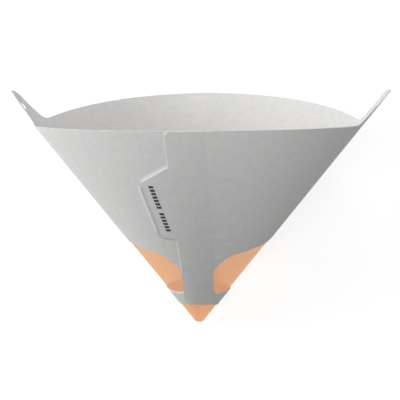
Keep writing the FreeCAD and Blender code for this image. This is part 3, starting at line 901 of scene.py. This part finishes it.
def black_ink():
    """Flexographic ink: flat black that sinks into the card."""
    material = new_material("printing ink")
    tree = material.node_tree
    plan = add(tree, "ShaderNodeTexCoord").outputs["Object"]
    bare = add(tree, "ShaderNodeTexNoise",
               {"Vector": plan, "Scale": 1 / (INK_GRAIN * MM)}).outputs[0]
    colour = add(tree, "ShaderNodeMix",
                 {"Factor": bare, "A": linear("#161616"), "B": linear("#2C2C2C")},
                 data_type="RGBA").outputs["Result"]
    surface = add(tree, "ShaderNodeBsdfPrincipled",
                  {"Base Color": colour, "Roughness": 0.6}).outputs[0]
    add(tree, "ShaderNodeOutputMaterial", {"Surface": surface})
    return material


# ---- the paper

def doubled_share(points):
    """1 where the over and under sheets lie together, 0 where the card is single."""
    reach = np.linalg.norm(points, axis=1)
    angle = np.arctan2(points[:, 0], points[:, 1])
    edge = (UNDER_EDGE[0][0] + UNDER_EDGE[1][0]) / 2 * MM
    fade = 0.8 * MM
    over = reach * np.sin(angle + HALF_TURN)
    share = np.where(angle < 0, np.clip((edge + fade - over) / fade, 0, 1), 0)
    lap = from_front_view(cut_line(LAP_EDGE, EDGE_STEP), "under")
    past_tip = polar(TIP_OPENING * 0.9, np.array([HALF_TURN + 1.2]))
    past_rim = polar(SLANT * 1.1, HALF_TURN + np.array([0.3, 0.0]))
    region = np.concatenate([lap, past_tip, past_rim])
    covered = inside_loops(points, [region]) & (angle > 0)
    return np.where(covered, 1, share)


CLEARANCE = 0.55 * STEP         # between a cut edge and the nearest point of the rings
SLIVER = (0.1 * MM) ** 2        # triangles smaller than this are left out


def paper_cone():
    """The blank, cut out, rolled and given its thickness."""
    loops = [blank_outline(),
             window_outline(RIGHT_WINDOW, "over"), window_outline(LEFT_WINDOW, "under"),
             hole_outline(1), hole_outline(-1)]
    inner = blank_points()
    inner = inner[inside_loops(inner, loops)]
    inner = inner[clear_of_edges(inner, loops, CLEARANCE)]
    edges = []
    start = 0
    for loop in loops:
        count = len(loop)
        edges += [(start + k, start + (k + 1) % count) for k in range(count)]
        start += count
    points = np.concatenate([*loops, inner])
    spots, _, faces, *_ = delaunay_2d_cdt([Vector(p) for p in points], edges, [], 0, 1e-9)
    spots = np.array([spot[:] for spot in spots])
    faces = np.array(faces)
    first = spots[faces[:, 1]] - spots[faces[:, 0]]
    second = spots[faces[:, 2]] - spots[faces[:, 0]]
    area = np.abs(first[:, 0] * second[:, 1] - first[:, 1] * second[:, 0]) / 2
    faces = faces[inside_loops(spots[faces].mean(axis=1), loops) & (area > SLIVER)]
    piece = flat_mesh("paper_blank", spots, faces.tolist(), np.zeros(len(spots)),
                      [PAPER_FACE, PAPER_EDGE])
    share = piece.data.attributes.new("doubled", "FLOAT", "POINT")
    share.data.foreach_set("value", doubled_share(spots))
    roll(piece, PAPER_FACE, **PAPER_FORM)
    thicken(piece, PAPER, 1)
    return settle(piece, "paper_strainer_cone")


PAPER_FORM = {
    "Lap Step": PAPER + LAP_AIR, "Lap Middle": LAP_DOWN_FROM, "Waviness": WAVINESS,
    "Left Ear Bend": LEFT_EAR_BEND, "Right Ear Bend": RIGHT_EAR_BEND,
    "Left Ear Twist": LEFT_EAR_TWIST, "Right Ear Twist": RIGHT_EAR_TWIST,
}
PAPER_FACE = bleached_paper()
PAPER_EDGE = cut_paper()
cone = paper_cone()
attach(cone, "root")
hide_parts("paper_cone")


# ---- the gauze

GAUZE_COLUMNS = 141
GAUZE_ROWS = 46
ROW_CROWDING = 1.2              # rows lie closer together towards the tip
GATHERED = 0.15                 # share of the gap under the paper that is left at the tip


def gauze_cone():
    """A sector of gauze, rolled inside the paper, lapped a little and pinched at its tip."""
    angles = np.linspace(-HALF_TURN - GAUZE_LAP, HALF_TURN, GAUZE_COLUMNS)
    shares = np.linspace(0, 1, GAUZE_ROWS) ** ROW_CROWDING
    grid_share, grid_angle = np.meshgrid(shares, angles, indexing="ij")
    angle = grid_angle.ravel()
    low = GAUZE_TIP + GAUZE_TIP_RISE * crease_share(angle) ** 2
    radius = low + (GAUZE_REACH - low) * grid_share.ravel()
    points = polar(radius, angle)
    lapped = np.clip((GAUZE_EASE - HALF_TURN - angle) / GAUZE_EASE, 0, 1)
    depth = PAPER + GLUE + (GAUZE + GLUE) * lapped
    heights = -depth * np.clip(radius / GAUZE_GATHER, GATHERED, 1)
    faces = []
    for row in range(GAUZE_ROWS - 1):
        for column in range(GAUZE_COLUMNS - 1):
            near = row * GAUZE_COLUMNS + column
            far = near + GAUZE_COLUMNS
            faces.append((far, far + 1, near + 1, near))
    piece = flat_mesh("gauze_sector", points, faces, heights, [GAUZE_FINISH])
    roll(piece, GAUZE_FINISH, Slack=GAUZE_SLACK)
    thicken(piece, GAUZE, even=False)
    return settle(piece, "nylon_filter_gauze")


GAUZE_FINISH = nylon_gauze()
gauze = gauze_cone()
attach(gauze, "root")
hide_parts("filter_gauze")


# ---- the print: plain bars where the flap carries a line of small type

BARS_BELOW = 6
BARS_ABOVE = 7
BAR_ROW = ((-11.5, 80.5), (-18.4, 113.4))   # its ends, in mm across and up the front
BAR_INK = 0.04 * MM
BAR_LIFT = 0.03 * MM                        # the ink's middle above the card


def bars_tree():
    """A row of flat bars of ink along +Y, in two groups, turned and placed on the blank."""
    tree = new_tree("Printed bars", {
        "Bars Below": ("NodeSocketInt", BARS_BELOW),
        "Bars Above": ("NodeSocketInt", BARS_ABOVE),
        "Pitch": (NUMBER, 2.4 * MM),
        "Bar Width": (NUMBER, 1.65 * MM),
        "Bar Length": (NUMBER, 2.6 * MM),
        "Ink": (NUMBER, BAR_INK),
        "Start": ("NodeSocketVector", None),
        "Turn": (NUMBER, 0.0),
        "Finish": ("NodeSocketMaterial", None),
    })
    size = add(tree, "NodeGroupInput").outputs
    both = add(tree, "ShaderNodeMath", {0: size["Bars Below"], 1: size["Bars Above"]},
               operation="ADD").outputs[0]
    slots = add(tree, "ShaderNodeMath", {0: both, 1: 1.0}, operation="ADD").outputs[0]
    step = add(tree, "ShaderNodeCombineXYZ", {1: size["Pitch"]}).outputs[0]
    row = add(tree, "GeometryNodeMeshLine", {"Count": slots, "Offset": step},
              mode="OFFSET").outputs[0]
    number = add(tree, "GeometryNodeInputIndex").outputs[0]
    gap = add(tree, "FunctionNodeCompare", {2: number, 3: size["Bars Below"]},
              data_type="INT", operation="EQUAL").outputs[0]
    kept = add(tree, "GeometryNodeDeleteGeometry", {"Geometry": row, "Selection": gap}).outputs[0]
    shape = add(tree, "ShaderNodeCombineXYZ",
                {0: size["Bar Length"], 1: size["Bar Width"], 2: size["Ink"]}).outputs[0]
    bar = add(tree, "GeometryNodeMeshCube", {"Size": shape}).outputs[0]
    bars = add(tree, "GeometryNodeInstanceOnPoints", {"Points": kept, "Instance": bar}).outputs[0]
    turn = add(tree, "ShaderNodeCombineXYZ", {2: size["Turn"]}).outputs[0]
    placed = add(tree, "GeometryNodeTransform",
                 {"Geometry": bars, "Translation": size["Start"], "Rotation": turn}).outputs[0]
    real = add(tree, "GeometryNodeRealizeInstances", {0: placed}).outputs[0]
    done = add(tree, "GeometryNodeSetMaterial",
               {"Geometry": real, "Material": size["Finish"]}).outputs[0]
    add(tree, "NodeGroupOutput", {0: done})
    return tree


def printed_bars():
    """Thirteen bars on the flap, rolled with the paper under them."""
    down = np.array([math.sin(-HALF_TURN), math.cos(-HALF_TURN)])
    right = np.array([down[1], -down[0]])
    low, high = [across * MM * right + up * MM * down for across, up in BAR_ROW]
    run = high - low
    length = float(np.linalg.norm(run))
    pitch = length / (BARS_BELOW + 1 + BARS_ABOVE)
    start = low + run / length * pitch / 2
    piece = flat_mesh("bars", np.zeros((1, 2)), [], np.zeros(1), [INK])
    rule = piece.modifiers.new("Bars", "NODES")
    rule.node_group = bars_tree()
    set_inputs(rule, {"Pitch": pitch, "Start": (*start, BAR_LIFT),
                      "Turn": math.atan2(-run[0], run[1]), "Finish": INK})
    roll(piece, INK, **PAPER_FORM)
    return settle(piece, "printed_bars")


INK = black_ink()
marks = printed_bars()
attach(marks, "root")

bpy.data.objects.remove(SECTION)


# ---- camera, floor and light

FOCAL_LENGTH = 79.5
CAMERA_DISTANCE = 0.5
AZIMUTH = 0.088                 # in the upright cone's own frame, in radians
ELEVATION = 0.220
TILT = -0.0117                  # roll about the line of sight
LOOKED_AT = Vector((0.0080, 0, 0.5062)) * SLANT
FLOOR_GAP = 0.5 * MM            # keeps the floor clear of the paper
FLOOR_REACH = 6.0
LAMPS = [                       # name, place, side in metres, watts
    ("key", (-0.52, 0.02, 0.24), 0.25, 1.69),
    ("side fill", (-0.70, 0.35, 0.35), 0.45, 0.98),
    ("top light", (0.0, -0.10, 0.42), 0.22, 0.66),
    ("right fill", (0.55, -0.05, 0.35), 0.35, 0.46),
    ("back light", (0.05, 0.70, 0.80), 0.6, 3.3),
]
LAMPS_LOOK_AT = Vector((0, 0, 0.05))


def camera():
    """Looks down on the cone from just in front of its tip."""
    lens = bpy.data.cameras.new("camera")
    lens.lens = FOCAL_LENGTH
    lens.sensor_width = 36
    lens.clip_start = 0.01
    eye = put("camera", lens)
    ahead = Vector((-math.sin(AZIMUTH) * math.cos(ELEVATION),
                    math.cos(AZIMUTH) * math.cos(ELEVATION), -math.sin(ELEVATION)))
    right = Vector((math.cos(AZIMUTH), math.sin(AZIMUTH), 0))
    up = right.cross(ahead)
    right, up = (math.cos(TILT) * right + math.sin(TILT) * up,
                 math.cos(TILT) * up - math.sin(TILT) * right)
    lay = Matrix.Translation(APEX) @ Matrix.Rotation(-LAY_DOWN, 4, "X")
    turn = lay.to_3x3()
    axes = Matrix((turn @ right, turn @ up, turn @ -ahead)).transposed()
    place = lay @ (LOOKED_AT - ahead * CAMERA_DISTANCE)
    eye.matrix_world = Matrix.Translation(place) @ axes.to_4x4()
    bpy.context.scene.camera = eye


def to_the_eye(tree):
    """1 for what is seen straight, mirrored or through something, 0 for what only lights."""
    path = add(tree, "ShaderNodeLightPath").outputs
    seen = path["Is Camera Ray"]
    for way in ("Is Glossy Ray", "Is Transmission Ray"):
        seen = add(tree, "ShaderNodeMath", {0: seen, 1: path[way]}, operation="MAXIMUM").outputs[0]
    return seen


def floor():
    """A pale sweep that stays white to the eye and keeps the cone's soft shadow."""
    material = new_material("pale studio sweep")
    tree = material.node_tree
    matt = add(tree, "ShaderNodeBsdfDiffuse", {"Color": linear("#D8D8D8")}).outputs[0]
    shade = add(tree, "ShaderNodeBsdfDiffuse", {"Color": linear("#8C8C8C")}).outputs[0]
    # the glow and the lit shade together come to white, and to less where a shadow falls
    glow = add(tree, "ShaderNodeEmission", {"Color": (1, 1, 1, 1), "Strength": 0.84}).outputs[0]
    white = add(tree, "ShaderNodeAddShader", {0: shade, 1: glow}).outputs[0]
    surface = add(tree, "ShaderNodeMixShader",
                  {0: to_the_eye(tree), 1: matt, 2: white}).outputs[0]
    add(tree, "ShaderNodeOutputMaterial", {"Surface": surface})
    mesh = bpy.data.meshes.new("floor")
    corners = [(across * FLOOR_REACH, along * FLOOR_REACH, CAD_LOW.z - FLOOR_GAP)
               for across, along in ((-1, -1), (1, -1), (1, 1), (-1, 1))]
    mesh.from_pydata(corners, [], [(0, 1, 2, 3)])
    mesh.materials.append(material)
    put("floor", mesh)


def soft_box(name, place, size, power):
    """A square soft box that looks at the cone."""
    lamp = bpy.data.lights.new(name, "AREA")
    lamp.shape = "SQUARE"
    lamp.size = size
    lamp.energy = power
    box = put(name, lamp)
    aim = (LAMPS_LOOK_AT - Vector(place)).to_track_quat("-Z", "Y")
    box.matrix_world = Matrix.Translation(place) @ aim.to_matrix().to_4x4()


def world():
    """White to the eye; for everything else, even light from all round."""
    sky = bpy.data.worlds.new("studio")
    sky.use_nodes = True
    tree = sky.node_tree
    tree.nodes.clear()
    round_light = 0.03
    strength = add(tree, "ShaderNodeMix",
                   {"Factor": to_the_eye(tree), "A": round_light, "B": 1.0},
                   data_type="FLOAT").outputs[0]
    back = add(tree, "ShaderNodeBackground",
               {"Color": (1, 1, 1, 1), "Strength": strength}).outputs[0]
    add(tree, "ShaderNodeOutputWorld", {"Surface": back})
    bpy.context.scene.world = sky


camera()
floor()
for lamp in LAMPS:
    soft_box(*lamp)
world()
bpy.context.scene.view_settings.view_transform = "Standard"
